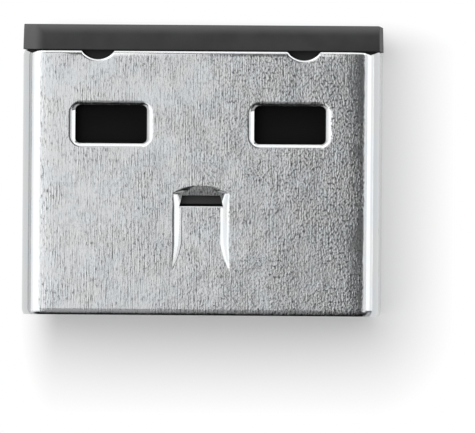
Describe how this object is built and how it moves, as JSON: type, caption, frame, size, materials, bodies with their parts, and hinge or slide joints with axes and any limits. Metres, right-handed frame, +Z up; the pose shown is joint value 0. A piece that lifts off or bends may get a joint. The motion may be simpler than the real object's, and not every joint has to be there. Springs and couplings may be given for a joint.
{
  "type": "usb wifi adapter",
  "caption": "Nano USB wifi adapter: a stamped steel plug shell with retention windows and a pressed locking tongue, a radio board under a plastic core, and a slim plastic end cap.",
  "frame": {"origin": "under the middle of the adapter, on the surface that it lies on", "axes": "+X across the plug, +Y from the plug's mouth to the end cap, +Z up, out of the face with the pressed tongue"},
  "size_m": [0.012, 0.0098, 0.0045],
  "materials": {
    "nickel_plated_steel": "nickel-plated sheet, grained along the plug",
    "cap_plastic": "moulded, fine satin",
    "core_plastic": "moulded, matt",
    "board_laminate": "black solder mask",
    "gilt_contact": "gold plated",
    "chip_epoxy": "moulded epoxy",
    "can_metal": "plated can",
    "capacitor_ceramic": "fired ceramic with tinned ends",
    "inductor_ferrite": "ferrite with tinned ends",
    "antenna_ceramic": "fired ceramic"
  },
  "bodies": {
    "root": {"plug_shell": "nickel_plated_steel", "end_cap": "cap_plastic", "core": "core_plastic", "circuit_board": "board_laminate", "contact_vbus": "gilt_contact", "contact_data_minus": "gilt_contact", "contact_data_plus": "gilt_contact", "contact_ground": "gilt_contact", "wifi_chip": "chip_epoxy", "crystal": "can_metal", "voltage_regulator": "chip_epoxy", "chip_antenna": "antenna_ceramic", "power_inductor": "inductor_ferrite", "regulator_input_capacitor": "capacitor_ceramic", "regulator_output_capacitor": "capacitor_ceramic", "crystal_capacitor_left": "capacitor_ceramic", "crystal_capacitor_right": "capacitor_ceramic", "chip_capacitor_1": "capacitor_ceramic", "chip_capacitor_2": "capacitor_ceramic", "chip_capacitor_3": "capacitor_ceramic", "chip_capacitor_4": "capacitor_ceramic", "antenna_capacitor_in": "capacitor_ceramic", "antenna_inductor": "inductor_ferrite", "antenna_capacitor_out": "capacitor_ceramic"}
  },
  "joints": []
}
